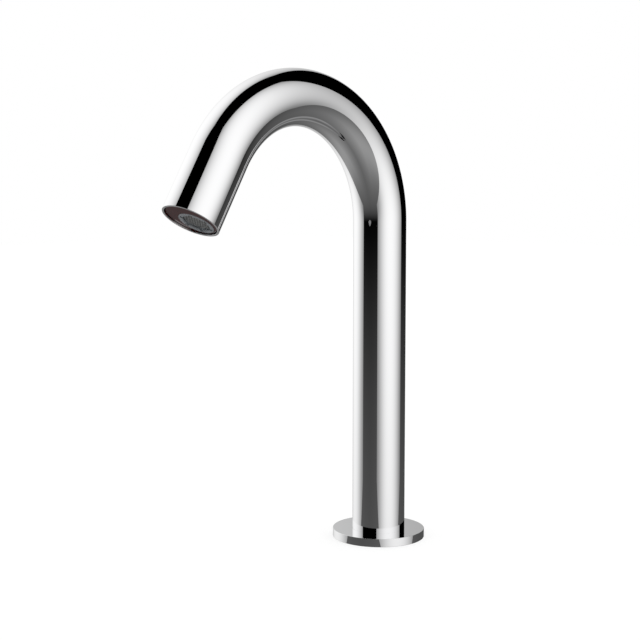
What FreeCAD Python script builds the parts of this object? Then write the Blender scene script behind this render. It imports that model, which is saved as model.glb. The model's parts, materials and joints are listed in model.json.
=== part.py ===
"""A deck-mounted sensor tap: a bent chrome tube with the sensor and the aerator in its outlet.

Millimetres. The origin is the centre of the flange's underside, so the deck is the plane z = 0.
+Z is up and the spout points towards -Y. The tap is symmetrical about the plane x = 0.

The pieces in the outlet are drawn in the outlet's own frame and carried to the tap by at_outlet:
its x runs across the tap, its y towards the column and its z up the tube from the end face.
"""

import FreeCAD, Part
import math
import os

Vec = FreeCAD.Vector

# Spout tube
tube_diameter = 32.0
tube_wall = 1.5
arch_radius = 70.0
arch_sweep = 149.0
arch_height = 193.0
outlet_run = 39.0
rim_break = 0.3
tube_bottom_break = 0.3

# Flange and its gasket
flange_diameter = 56.0
flange_thickness = 5.0
flange_lip = 2.2
flange_edge_break = 0.3
flange_foot_break = 0.3
slip_clearance = 0.1
gasket_inner_radius = 19.0
gasket_outer_radius = 25.5
gasket_thickness = 1.5

# Base plug, which closes the tube and takes the fixing stud, the hose and the lead
plug_height = 24.0
plug_clearance = 0.1
plug_top_break = 0.6
stud_thread_radius = 3.4
stud_thread_depth = 14.0
port_thread_radius = 3.5
port_thread_depth = 10.0
port_wall = 1.9
waterway_radius = 2.2
plug_ring_height = 13.6
plug_ring_section = 1.9
plug_ring_groove = 2.4
ring_squeeze = 0.05

# Supply socket for the lead, in the plug
socket_outer_wall = 2.1
socket_radius = 3.2
socket_length = 9.2
socket_recess = 0.8
socket_wall = 0.7
socket_depth = 6.0
contact_radius = 0.35
contact_circle = 1.2
contact_length = 4.6
contact_count = 3

# Water hose and its barbed nipples
hose_radius = 4.0
hose_bore = 2.8
nipple_stem_radius = 3.2
nipple_stem_length = 5.6
nipple_stem_clearance = 0.1
nipple_bore = 1.8
collar_flats = 8.0
collar_thickness = 2.5
washer_thickness = 0.8
washer_radius = 4.4
barb_length = 8.1
barb_root_radius = 2.4
barb_tip_radius = 2.75
barb_count = 3
ferrule_wall = 0.6
ferrule_length = 7.2
ferrule_standoff = 0.3
crimp_depth = 0.25
crimp_width = 1.2
crimp_count = 1

# Sensor lead
lead_radius = 1.6
lead_clearance = 0.2
grommet_seat_radius = 2.8
grommet_seat_depth = 3.0
grommet_flange_radius = 3.6
grommet_flange_thickness = 1.0

# Spacers that keep the hose and the lead off the tube
spacer_thickness = 4.0
spacer_clearance = 0.5
column_spacer_heights = (75.0, 135.0)
arch_spacer_angles = (30.0, 85.0)

# Outlet: sensor window
window_recess = 0.4
window_thickness = 2.8
window_gap = 0.2
window_web = 0.4
window_strip = 8.4
aerator_gap = 0.2

# Outlet: carrier
carrier_length = 22.8
carrier_clearance = 0.2
aerator_seat = 12.5
thread_clearance = 0.1
bore_wall = 0.8
chamber_ledge = 2.5
chamber_depth = 3.5
nozzle_shift = 1.7
nozzle_bore = 2.5
carrier_ring_depth = 3.8
carrier_ring_section = 1.5
carrier_ring_groove = 2.0
fixing_screw_radius = 1.95
fixing_screw_length = 4.0
fixing_screw_height = 18.4
fixing_screw_recess = 0.35
fixing_screw_socket = 2.0
fixing_screw_socket_depth = 1.8
fixing_hole_clearance = 0.1

# Outlet: sensor module
pocket_wall = 1.0
pocket_depth = 16.6
pocket_clearance = 0.2
module_wall = 0.7
module_floor = 5.9
module_length = 15.9
gasket_crush = 0.5
sensor_spacing = 7.2
eye_radius = 1.5
eye_clearance = 0.1
eye_length = 4.6
board_thickness = 1.2
board_clearance = 0.1
potting_depth = 8.1

# Outlet: aerator
aerator_recess = 0.6
aerator_length = 10.8
aerator_wall = 1.6
aerator_lip = 1.5
aerator_lip_width = 2.0
aerator_fit = 0.1
key_notch_count = 6
key_notch_turn = -8.0
key_notch_width = 2.2
key_notch_depth = 0.8
key_notch_wall = 0.5
grid_thickness = 2.0
grid_pitch = 1.7
grid_wall = 0.4
grid_rim = 0.4
grid_turn = 9.0
jet_skirt = 4.5
jet_wall = 0.8
jet_plate = 1.2
jet_count = 8
jet_radius = 0.55
jet_inset = 2.9
regulator_thickness = 2.0
regulator_channel_inset = 3.5
regulator_channel_width = 1.8
regulator_channel_depth = 1.3
regulator_port_radius = 0.6
regulator_port_count = 6
regulator_ring_section = 1.2
strainer_pitch = 2.6
strainer_wall = 0.8
seal_wall = 2.2

# Derived sizes
tube_radius = tube_diameter / 2
tube_bore = tube_radius - tube_wall
flange_radius = flange_diameter / 2
lip_bore = tube_bore + slip_clearance
flange_bore = tube_radius + slip_clearance
plug_radius = tube_bore - plug_clearance
port_offset = plug_radius - port_wall - port_thread_radius
lead_offset = plug_radius - socket_outer_wall - slip_clearance - socket_radius
stem_hole = nipple_stem_radius + nipple_stem_clearance
stem_hole_depth = nipple_stem_length + 0.4
lead_hole = lead_radius + lead_clearance
hose_start = plug_height + washer_thickness + collar_thickness
window_radius = tube_bore - window_gap
window_back = window_recess + window_thickness
window_hole = window_radius - (window_web + window_strip) / 2
aerator_offset = window_radius - window_web - window_hole
aerator_radius = window_hole - aerator_gap
carrier_radius = tube_bore - carrier_clearance
carrier_back = window_back + carrier_length
nozzle_offset = aerator_offset + nozzle_shift
chamber_radius = aerator_radius - chamber_ledge
thread_bore = aerator_radius + thread_clearance
chamber_back = aerator_seat + chamber_depth
pocket_radius = carrier_radius - pocket_wall
pocket_flat = thread_bore + bore_wall - aerator_offset
pocket_back = window_back + pocket_depth
module_radius = pocket_radius - pocket_clearance
module_flat = pocket_flat + pocket_clearance
module_front = window_back + gasket_crush
module_back = module_front + module_length
board_front = module_front + module_floor
board_back = board_front + board_thickness
potting_back = board_back + potting_depth
sensor_line = (module_radius + module_flat) / 2
hose_end = carrier_back + washer_thickness + collar_thickness
aerator_bore = aerator_radius - aerator_wall
insert_radius = aerator_bore - aerator_fit
aerator_lip_radius = aerator_radius - aerator_lip_width
jet_circle = insert_radius - jet_inset
regulator_channel_radius = insert_radius - regulator_channel_inset
aerator_back = aerator_recess + aerator_length
grid_front = aerator_recess + aerator_lip
jet_front = grid_front + grid_thickness
regulator_front = jet_front + jet_skirt
strainer_front = regulator_front + regulator_thickness
bend = math.radians(arch_sweep)
outlet = Vec(
    0.0,
    arch_radius * (math.cos(bend) - 1.0) - outlet_run * math.sin(bend),
    arch_height + arch_radius * math.sin(bend) + outlet_run * math.cos(bend),
)


def rod(radius, low, high, x=0.0, y=0.0):
    """A round bar along z."""
    return Part.makeCylinder(radius, high - low, Vec(x, y, low))


def ring(outer, inner, low, high, x=0.0, y=0.0):
    """A round bar with a bore along z."""
    return rod(outer, low, high, x, y).cut(rod(inner, low, high, x, y))


def turned(profile):
    """The solid that a closed profile of (radius, height) corners makes when it is turned about z."""
    corners = [Vec(radius, 0.0, height) for radius, height in profile]
    face = Part.Face(Part.makePolygon(corners + corners[:1]))
    return face.revolve(Vec(0, 0, 0), Vec(0, 0, 1), 360.0)


def hexagon(flats, low, high, x=0.0, y=0.0):
    """A hexagonal bar along z, by its size across the flats."""
    corner = flats / math.sqrt(3.0)
    angles = [math.radians(60.0 * step) for step in range(7)]
    points = [Vec(x + corner * math.cos(a), y + corner * math.sin(a), low) for a in angles]
    return Part.Face(Part.makePolygon(points)).extrude(Vec(0, 0, high - low))


def around(count, radius, first=0.0):
    """Evenly spaced (x, y) places on a circle, from the angle of the first, in degrees."""
    angles = [math.radians(first + 360.0 * step / count) for step in range(count)]
    return [(radius * math.cos(a), radius * math.sin(a)) for a in angles]


def honeycomb(pitch, reach):
    """The (x, y) places of a hexagonal pattern within a reach from its centre."""
    rows = int(reach / pitch) + 2
    places = []
    for row in range(-rows, rows + 1):
        for column in range(-2 * rows, 2 * rows + 1):
            x = pitch * (column + row / 2.0)
            y = pitch * row * math.sqrt(3.0) / 2.0
            if math.hypot(x, y) <= reach:
                places.append((x, y))
    return places


def chamfered(solid, size, wanted):
    """Breaks the edges that a test on the edge picks."""
    edges = [edge for edge in solid.Edges if wanted(edge)]
    return solid.makeChamfer(size, edges)


def level_circle(height, radius):
    """A test for a full circle at a height, square to z."""

    def wanted(edge):
        box = edge.BoundBox
        level = abs(box.ZMin - height) < 1e-4 and abs(box.ZMax - height) < 1e-4
        return level and abs(box.XLength / 2 - radius) < 1e-3

    return wanted


def at_outlet(solid):
    """Carries a solid from the outlet's own frame to its place in the tap."""
    placed = solid.copy()
    turn = FreeCAD.Rotation(Vec(1, 0, 0), arch_sweep - 180.0)
    placed.Placement = FreeCAD.Placement(outlet, turn).multiply(placed.Placement)
    return placed


def bend_radius(low_offset, high_offset):
    """The radius that takes a line from one offset in the column to another in the outlet.

    Offsets are measured from the tube's own line, towards the inside of the arch.
    """
    shift = low_offset * math.cos(bend) - high_offset
    return arch_radius + shift / (1.0 - math.cos(bend))


def along_tube(radius, low_offset, high_offset, low, high):
    """A round bar that runs up the column, round the arch and down the outlet.

    low is its height in the column, and high its distance from the end face in the outlet.
    """
    radius_of_bend = bend_radius(low_offset, high_offset)
    centre = Vec(0, -low_offset - radius_of_bend, arch_height)
    start = Part.makeCircle(radius, Vec(0, -low_offset, arch_height), Vec(0, 0, 1))
    face = Part.Face(Part.Wire(start))
    column = face.extrude(Vec(0, 0, low - arch_height))
    arch = face.revolve(centre, Vec(1, 0, 0), arch_sweep)
    face.rotate(centre, Vec(1, 0, 0), arch_sweep)
    run = outlet_run + (centre.y + arch_radius) * math.sin(bend) - high
    leg = face.extrude(Vec(0, -run * math.sin(bend), run * math.cos(bend)))
    return arch.fuse([column, leg]).removeSplitter().Solids[0]


def crescent(radius, flat, front, back):
    """The slice of a round bar that lies beyond a flat, on the outer side of the outlet."""
    width = 2 * radius
    block = Part.makeBox(2 * width, width, back - front, Vec(-width, -flat - width, front))
    return rod(radius, front, back).common(block)


def eye_places():
    """The places of the sensor's emitter and receiver."""
    return [(-sensor_spacing / 2, -sensor_line), (sensor_spacing / 2, -sensor_line)]


def spout_tube():
    """The bent tube, square-cut at its outlet, with the hole for the carrier's fixing screw."""
    tube = along_tube(tube_radius, 0.0, 0.0, flange_lip, 0.0)
    tube = chamfered(tube, rim_break, lambda edge: (edge.CenterOfMass - outlet).Length < 0.01)
    tube = chamfered(tube, tube_bottom_break, level_circle(flange_lip, tube_radius))
    tube = tube.cut(along_tube(tube_bore, 0.0, 0.0, flange_lip, 0.0))
    hole = Part.makeCylinder(
        fixing_screw_radius + fixing_hole_clearance,
        tube_radius,
        Vec(0, tube_bore / 2, fixing_screw_height),
        Vec(0, 1, 0),
    )
    return tube.cut(at_outlet(hole))


def base_flange():
    """The round flange that covers the deck hole, with a lip under the tube and a gasket groove."""
    disc = rod(flange_radius, 0, flange_thickness)
    disc = chamfered(disc, flange_edge_break, level_circle(flange_thickness, flange_radius))
    disc = chamfered(disc, flange_foot_break, level_circle(0, flange_radius))
    disc = disc.cut(rod(lip_bore, 0, flange_lip))
    disc = disc.cut(rod(flange_bore, flange_lip, flange_thickness))
    return disc.cut(ring(gasket_outer_radius, gasket_inner_radius, 0, gasket_thickness))


def base_gasket():
    """The flat rubber ring in the flange's groove."""
    outer = gasket_outer_radius - slip_clearance
    inner = gasket_inner_radius + slip_clearance
    return ring(outer, inner, 0, gasket_thickness)


def base_plug():
    """The brass plug in the foot of the tube."""
    plug = rod(plug_radius, 0, plug_height)
    plug = chamfered(plug, plug_top_break, level_circle(plug_height, plug_radius))
    groove_inner = tube_bore - plug_ring_section
    groove_low = plug_ring_height - plug_ring_groove / 2
    stem_floor = plug_height - stem_hole_depth
    seat_floor = plug_height - grommet_seat_depth
    socket_top = socket_recess + socket_length
    cuts = [
        ring(tube_radius, groove_inner, groove_low, groove_low + plug_ring_groove),
        rod(stud_thread_radius, 0, stud_thread_depth),
        rod(port_thread_radius, 0, port_thread_depth, y=-port_offset),
        rod(waterway_radius, port_thread_depth, stem_floor, y=-port_offset),
        rod(stem_hole, stem_floor, plug_height, y=-port_offset),
        rod(socket_radius + slip_clearance, 0, socket_top, y=lead_offset),
        rod(lead_hole, socket_top, seat_floor, y=lead_offset),
        rod(grommet_seat_radius, seat_floor, plug_height, y=lead_offset),
    ]
    return plug.cut(cuts)


def seal_ring(outer, section, middle):
    """A lathe-cut rubber ring with broken corners, by its outer radius and its section."""
    corner = section / 4
    inner = outer - section
    low = middle - section / 2
    high = middle + section / 2
    return turned([
        (inner, low), (outer - corner, low), (outer, low + corner),
        (outer, high - corner), (outer - corner, high), (inner, high),
    ])


def plug_ring():
    """The rubber ring between the plug and the tube."""
    return seal_ring(tube_bore - ring_squeeze, plug_ring_section - 2 * ring_squeeze, plug_ring_height)


def lead_socket():
    """The shell of the supply socket, with a floor that holds its contacts."""
    top = socket_recess + socket_length
    shell = rod(socket_radius, socket_recess, top, y=lead_offset)
    mouth = rod(socket_radius - socket_wall, socket_recess, socket_recess + socket_depth, y=lead_offset)
    places = around(contact_count, contact_circle, 90.0)
    floor = socket_recess + socket_depth
    holes = [rod(contact_radius, floor, floor + 1.0, x, y + lead_offset) for x, y in places]
    return shell.cut([mouth] + holes)


def socket_contacts():
    """The contact pins in the supply socket."""
    top = socket_recess + socket_depth + 1.0
    pins = []
    for x, y in around(contact_count, contact_circle, 90.0):
        pins.append(rod(contact_radius, top - 1.0 - contact_length, top, x, y + lead_offset))
    return Part.makeCompound(pins)


def lead_grommet():
    """The rubber grommet where the lead leaves the plug."""
    low = plug_height - grommet_seat_depth
    sleeve = rod(grommet_seat_radius - slip_clearance, low, plug_height, y=lead_offset)
    flange = rod(
        grommet_flange_radius, plug_height, plug_height + grommet_flange_thickness, y=lead_offset
    )
    hole = rod(lead_radius + slip_clearance, low, plug_height + grommet_flange_thickness, y=lead_offset)
    return sleeve.fuse(flange).cut(hole).removeSplitter()


def nipple():
    """A barbed hose nipple that stands on z = 0: stem below, collar on the washer, barbs above."""
    collar_low = washer_thickness
    collar_high = collar_low + collar_thickness
    stem = rod(nipple_stem_radius, -nipple_stem_length, collar_low)
    collar = hexagon(collar_flats, collar_low, collar_high)
    pitch = barb_length / barb_count
    profile = [(0.0, collar_high), (barb_root_radius, collar_high)]
    for step in range(barb_count):
        foot = collar_high + pitch * step
        profile.append((barb_root_radius, foot + 0.3 * pitch))
        profile.append((barb_tip_radius, foot + 0.3 * pitch))
        profile.append((barb_root_radius, foot + pitch))
    profile.append((0.0, collar_high + barb_length))
    solid = stem.fuse([collar, turned(profile)])
    return solid.cut(rod(nipple_bore, -nipple_stem_length, collar_high + barb_length)).removeSplitter()


def nipple_washer():
    """The sealing washer under a nipple's collar."""
    return ring(washer_radius, stem_hole, 0, washer_thickness)


def hose_ferrule():
    """The crimped ferrule round a hose's end, above its nipple's collar."""
    inner = hose_radius + slip_clearance
    outer = inner + ferrule_wall
    low = washer_thickness + collar_thickness + ferrule_standoff
    profile = [(inner, low), (outer, low)]
    pitch = ferrule_length / (crimp_count + 1)
    for step in range(1, crimp_count + 1):
        middle = low + pitch * step
        profile.append((outer, middle - crimp_width / 2))
        profile.append((outer - crimp_depth, middle - crimp_width / 4))
        profile.append((outer - crimp_depth, middle + crimp_width / 4))
        profile.append((outer, middle + crimp_width / 2))
    profile += [(outer, low + ferrule_length), (inner, low + ferrule_length)]
    return turned(profile)


def in_plug(solid):
    """Carries a hose fitting to its seat on the plug."""
    return solid.translated(Vec(0, -port_offset, plug_height))


def in_carrier(solid):
    """Carries a hose fitting to its seat on the carrier."""
    return at_outlet(solid.translated(Vec(0, nozzle_offset, carrier_back)))


def water_hose():
    """The hose from the plug's nipple to the carrier's, along the inside of the bend."""
    hose = along_tube(hose_radius, port_offset, nozzle_offset, hose_start, hose_end)
    return hose.cut(along_tube(hose_bore, port_offset, nozzle_offset, hose_start, hose_end))


def sensor_lead():
    """The sensor's lead, from the supply socket to the sensor board, along the outside of the bend."""
    low = socket_recess + socket_length
    return along_tube(lead_radius, -lead_offset, -sensor_line, low, board_back)


def spacer_blank(hose_place, lead_place):
    """A spacer disc, centred on the tube's line at z = 0, with holes for the hose and the lead."""
    low = -spacer_thickness / 2
    high = spacer_thickness / 2
    disc = rod(tube_bore - spacer_clearance, low, high)
    cuts = [
        rod(hose_radius + lead_clearance, low, high, y=-hose_place),
        rod(lead_hole, low, high, y=-lead_place),
    ]
    return disc.cut(cuts)


def offset_at(low_offset, high_offset, angle):
    """How far a line through the tube lies from the tube's own line, at an angle round the arch."""
    radius_of_bend = bend_radius(low_offset, high_offset)
    shift = arch_radius - low_offset - radius_of_bend
    return arch_radius - radius_of_bend - shift * math.cos(math.radians(angle))


def hose_spacers():
    """The spacer discs, in the column and round the arch."""
    spacers = []
    for height in column_spacer_heights:
        spacers.append(spacer_blank(port_offset, -lead_offset).translated(Vec(0, 0, height)))
    for angle in arch_spacer_angles:
        hose_place = offset_at(port_offset, nozzle_offset, angle)
        lead_place = offset_at(-lead_offset, -sensor_line, angle)
        disc = spacer_blank(hose_place, lead_place).translated(Vec(0, 0, arch_height))
        disc.rotate(Vec(0, -arch_radius, arch_height), Vec(1, 0, 0), angle)
        spacers.append(disc)
    return Part.makeCompound(spacers)


def tip_carrier():
    """The moulded carrier in the outlet: thread for the aerator, water chamber and sensor pocket."""
    body = rod(carrier_radius, window_back, carrier_back)
    ring_middle = carrier_back - carrier_ring_depth
    groove_low = ring_middle - carrier_ring_groove / 2
    stem_floor = carrier_back - stem_hole_depth
    cuts = [
        rod(thread_bore, window_back, aerator_seat, y=aerator_offset),
        rod(chamber_radius, aerator_seat, chamber_back, y=aerator_offset),
        rod(nozzle_bore, chamber_back, stem_floor, y=nozzle_offset),
        rod(stem_hole, stem_floor, carrier_back, y=nozzle_offset),
        crescent(pocket_radius, pocket_flat, window_back, pocket_back),
        rod(lead_hole, pocket_back, carrier_back, y=-sensor_line),
        ring(tube_radius, tube_bore - carrier_ring_section, groove_low, groove_low + carrier_ring_groove),
        fixing_screw_blank(fixing_screw_radius + fixing_hole_clearance),
    ]
    return body.cut(cuts)


def carrier_ring():
    """The rubber ring between the carrier and the tube."""
    section = carrier_ring_section - 2 * ring_squeeze
    return seal_ring(tube_bore - ring_squeeze, section, carrier_back - carrier_ring_depth)


def fixing_screw_blank(radius):
    """The bar of the fixing screw, through the tube's wall on the column side."""
    outer = tube_radius - fixing_screw_recess
    start = Vec(0, outer - fixing_screw_length, fixing_screw_height)
    return Part.makeCylinder(radius, fixing_screw_length, start, Vec(0, 1, 0))


def fixing_screw():
    """The headless screw that holds the carrier in the tube."""
    outer = tube_radius - fixing_screw_recess
    socket = hexagon(fixing_screw_socket, 0, fixing_screw_socket_depth)
    socket.rotate(Vec(0, 0, 0), Vec(1, 0, 0), 90.0)
    socket.translate(Vec(0, outer, fixing_screw_height))
    return fixing_screw_blank(fixing_screw_radius).cut(socket)


def sensor_window():
    """The dark window that closes the outlet round the aerator."""
    disc = rod(window_radius, window_recess, window_back)
    return disc.cut(rod(window_hole, window_recess, window_back, y=aerator_offset))


def window_gasket():
    """The foam gasket between the window and the sensor module."""
    pad = crescent(module_radius, module_flat, window_back, module_front)
    return pad.cut([rod(eye_radius + eye_clearance, window_back, module_front, x, y) for x, y in eye_places()])


def sensor_housing():
    """The sensor module's housing: two light wells in front and a tray for the board behind."""
    block = crescent(module_radius, module_flat, module_front, module_back)
    tray = crescent(module_radius - module_wall, module_flat + module_wall, board_front, module_back)
    wells = [rod(eye_radius + eye_clearance, module_front, board_front, x, y) for x, y in eye_places()]
    return block.cut([tray] + wells)


def sensor_board():
    """The sensor's circuit board, in the housing's tray."""
    inset = module_wall + board_clearance
    return crescent(module_radius - inset, module_flat + inset, board_front, board_back)


def sensor_potting():
    """The resin that seals the board, cast round the lead."""
    inset = module_wall + board_clearance
    cast = crescent(module_radius - inset, module_flat + inset, board_back, potting_back)
    return cast.cut(rod(lead_radius + slip_clearance, board_back, potting_back, y=-sensor_line))


def sensor_eye(side):
    """The emitter or the receiver: a round diode with a tapered lens, hung from the board."""
    x, y = eye_places()[side]
    front = board_front - eye_length
    barrel = rod(eye_radius, front, board_front, x, y)
    return chamfered(barrel, eye_radius / 2, level_circle(front, eye_radius))


def in_aerator(solid):
    """Carries a solid from the aerator's axis to its place in the outlet."""
    return at_outlet(solid.translated(Vec(0, aerator_offset, 0)))


def aerator_housing():
    """The aerator's housing, with a lip in front and notches for its key."""
    body = rod(aerator_radius, aerator_recess, aerator_back)
    body = body.cut(rod(aerator_bore, aerator_recess + aerator_lip, aerator_back))
    body = body.cut(rod(aerator_lip_radius, aerator_recess, aerator_recess + aerator_lip))
    notch_reach = aerator_radius - key_notch_wall
    notch = Part.makeBox(
        notch_reach, key_notch_width, key_notch_depth, Vec(0, -key_notch_width / 2, aerator_recess)
    )
    notch = notch.common(rod(notch_reach, aerator_recess, aerator_back))
    for step in range(key_notch_count):
        placed = notch.copy()
        placed.rotate(Vec(0, 0, 0), Vec(0, 0, 1), key_notch_turn + 360.0 * step / key_notch_count)
        body = body.cut(placed)
    return body


def holed_disc(radius, low, high, places, flats):
    """A disc with hexagonal holes, cut in one go from its face."""
    disc = Part.Wire(Part.makeCircle(radius, Vec(0, 0, low)))
    corner = flats / math.sqrt(3.0)
    wires = [disc]
    for x, y in places:
        points = []
        for step in range(7):
            angle = math.radians(30.0 + 60.0 * step)
            points.append(Vec(x + corner * math.cos(angle), y + corner * math.sin(angle), low))
        wires.append(Part.makePolygon(points))
    face = Part.makeFace(wires, "Part::FaceMakerBullseye")
    return face.extrude(Vec(0, 0, high - low))


def aerator_grid():
    """The honeycomb that straightens the stream, seated on the housing's lip."""
    cell = grid_pitch - grid_wall
    reach = insert_radius - grid_rim - cell / math.sqrt(3.0)
    places = honeycomb(grid_pitch, reach)
    grid = holed_disc(insert_radius, grid_front, jet_front, places, cell)
    grid.rotate(Vec(0, 0, 0), Vec(0, 0, 1), grid_turn)
    return grid


def jet_former():
    """The cup behind the grid, whose ring of jets draws air into the water."""
    cup = rod(insert_radius, jet_front, regulator_front)
    hollow = rod(insert_radius - jet_wall, jet_front, regulator_front - jet_plate)
    jets = [rod(jet_radius, regulator_front - jet_plate, regulator_front, x, y)
            for x, y in around(jet_count, jet_circle)]
    return cup.cut([hollow] + jets)


def flow_regulator():
    """The disc with the channel in which the regulator's ring limits the flow."""
    disc = rod(insert_radius, regulator_front, strainer_front)
    channel = ring(
        regulator_channel_radius + regulator_channel_width / 2,
        regulator_channel_radius - regulator_channel_width / 2,
        strainer_front - regulator_channel_depth,
        strainer_front,
    )
    ports = [rod(regulator_port_radius, regulator_front, strainer_front, x, y)
             for x, y in around(regulator_port_count, regulator_channel_radius)]
    return disc.cut([channel] + ports)


def regulator_ring():
    """The elastic ring in the regulator's channel."""
    middle = strainer_front - regulator_channel_depth + regulator_ring_section / 2
    outer = regulator_channel_radius + regulator_ring_section / 2
    return seal_ring(outer, regulator_ring_section, middle)


def aerator_strainer():
    """The strainer that keeps grit out of the aerator."""
    flats = strainer_pitch - strainer_wall
    reach = aerator_back - strainer_front
    places = honeycomb(strainer_pitch, insert_radius - grid_rim - flats / math.sqrt(3.0))
    return holed_disc(insert_radius, strainer_front, strainer_front + reach, places, flats)


def aerator_seal():
    """The washer between the aerator and its seat in the carrier."""
    return ring(aerator_radius - aerator_fit, aerator_radius - seal_wall, aerator_back, aerator_seat)


def pieces():
    """Every piece of the tap by its name, in its place."""
    return {
        "spout_tube": spout_tube(),
        "base_flange": base_flange(),
        "base_gasket": base_gasket(),
        "base_plug": base_plug(),
        "plug_ring": plug_ring(),
        "lead_socket": lead_socket(),
        "socket_contacts": socket_contacts(),
        "lead_grommet": lead_grommet(),
        "inlet_nipple": in_plug(nipple()),
        "inlet_washer": in_plug(nipple_washer()),
        "lower_ferrule": in_plug(hose_ferrule()),
        "water_hose": water_hose(),
        "upper_ferrule": in_carrier(hose_ferrule()),
        "outlet_washer": in_carrier(nipple_washer()),
        "outlet_nipple": in_carrier(nipple()),
        "sensor_lead": sensor_lead(),
        "hose_spacers": hose_spacers(),
        "tip_carrier": at_outlet(tip_carrier()),
        "carrier_ring": at_outlet(carrier_ring()),
        "fixing_screw": at_outlet(fixing_screw()),
        "sensor_window": at_outlet(sensor_window()),
        "window_gasket": at_outlet(window_gasket()),
        "sensor_housing": at_outlet(sensor_housing()),
        "sensor_board": at_outlet(sensor_board()),
        "sensor_potting": at_outlet(sensor_potting()),
        "ir_emitter": at_outlet(sensor_eye(0)),
        "ir_receiver": at_outlet(sensor_eye(1)),
        "aerator_housing": in_aerator(aerator_housing()),
        "aerator_grid": in_aerator(aerator_grid()),
        "jet_former": in_aerator(jet_former()),
        "flow_regulator": in_aerator(flow_regulator()),
        "regulator_ring": in_aerator(regulator_ring()),
        "aerator_strainer": in_aerator(aerator_strainer()),
        "aerator_seal": in_aerator(aerator_seal()),
    }


os.makedirs("parts", exist_ok=True)
for name, solid in pieces().items():
    solid.exportStep(f"parts/{name}.step")
print(f"outlet at y = {outlet.y:.2f}, z = {outlet.z:.2f}")
print(f"aerator {aerator_offset:.2f} off the tube's line, sensor {sensor_line:.2f}")
print(f"hose bends at {bend_radius(port_offset, nozzle_offset):.1f}")
print(f"lead bends at {bend_radius(-lead_offset, -sensor_line):.1f}")
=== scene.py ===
"""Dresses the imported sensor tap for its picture.

Everything is in metres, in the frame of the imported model: the deck is the plane z = 0, +Z is up and
the spout points towards -Y. The pieces in the outlet are modelled in the outlet's own frame: x runs
across the tap, y towards the column and z up the tube from its end face.
"""

import json
import logging
import math
from collections.abc import Callable, Mapping, Sequence
from dataclasses import dataclass
from enum import Enum
from typing import Any

import bmesh
import bpy
from mathutils import Matrix, Vector


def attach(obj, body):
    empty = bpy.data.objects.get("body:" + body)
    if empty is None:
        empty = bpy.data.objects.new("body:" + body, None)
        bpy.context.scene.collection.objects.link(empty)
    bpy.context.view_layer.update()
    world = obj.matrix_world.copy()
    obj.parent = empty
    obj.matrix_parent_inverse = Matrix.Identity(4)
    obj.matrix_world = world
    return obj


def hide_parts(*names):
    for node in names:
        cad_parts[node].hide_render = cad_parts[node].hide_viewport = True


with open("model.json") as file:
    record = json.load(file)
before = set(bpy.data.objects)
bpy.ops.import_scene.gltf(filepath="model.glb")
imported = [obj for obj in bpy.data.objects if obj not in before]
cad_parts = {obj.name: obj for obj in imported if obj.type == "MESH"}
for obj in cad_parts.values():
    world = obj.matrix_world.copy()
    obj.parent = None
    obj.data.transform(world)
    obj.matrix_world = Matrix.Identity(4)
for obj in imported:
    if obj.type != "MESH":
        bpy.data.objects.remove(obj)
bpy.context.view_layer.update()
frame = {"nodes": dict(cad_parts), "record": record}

LOG = logging.getLogger("sensor_tap")

Colour = tuple[float, float, float]
Pair = tuple[float, float]
Socket = bpy.types.NodeSocket
Inputs = Mapping[str | int, Any]

MM = 0.001
WHITE: Colour = (1.0, 1.0, 1.0)
TINY = 1e-6  # metres, for tests on a vertex's place
SAME_POINT = 1e-7  # metres, between the two ends of a drawn section
WELD = 2e-6  # metres, between the doubled vertices of a closed form
BEVEL_ANGLE = math.radians(60.0)
CREASE_ANGLE = math.radians(35.0)
FULL_TURN = 2 * math.pi


class Body(Enum):
    """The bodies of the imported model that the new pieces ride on, by their names there."""

    TAP = "tap"
    AERATOR = "aerator"


class Slot(Enum):
    """The material slots of the record, by their names there."""

    CHROME = "chrome_plate"
    BRASS = "brass"
    STAINLESS = "stainless"
    RUBBER = "black_rubber"
    WINDOW = "sensor_glass"
    CARRIER = "carrier_plastic"
    AERATOR = "aerator_plastic"
    GRID = "grid_plastic"
    INSERT = "insert_plastic"
    SLEEVE = "hose_sleeve"
    JACKET = "lead_jacket"
    BOARD = "board"
    RESIN = "resin"
    CLEAR_LENS = "clear_lens"
    DARK_LENS = "dark_lens"
    GILT = "gilt_contact"
    FOAM = "foam"


# --------------------------------------------------------------------------------------------------
# Node trees
# --------------------------------------------------------------------------------------------------


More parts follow.
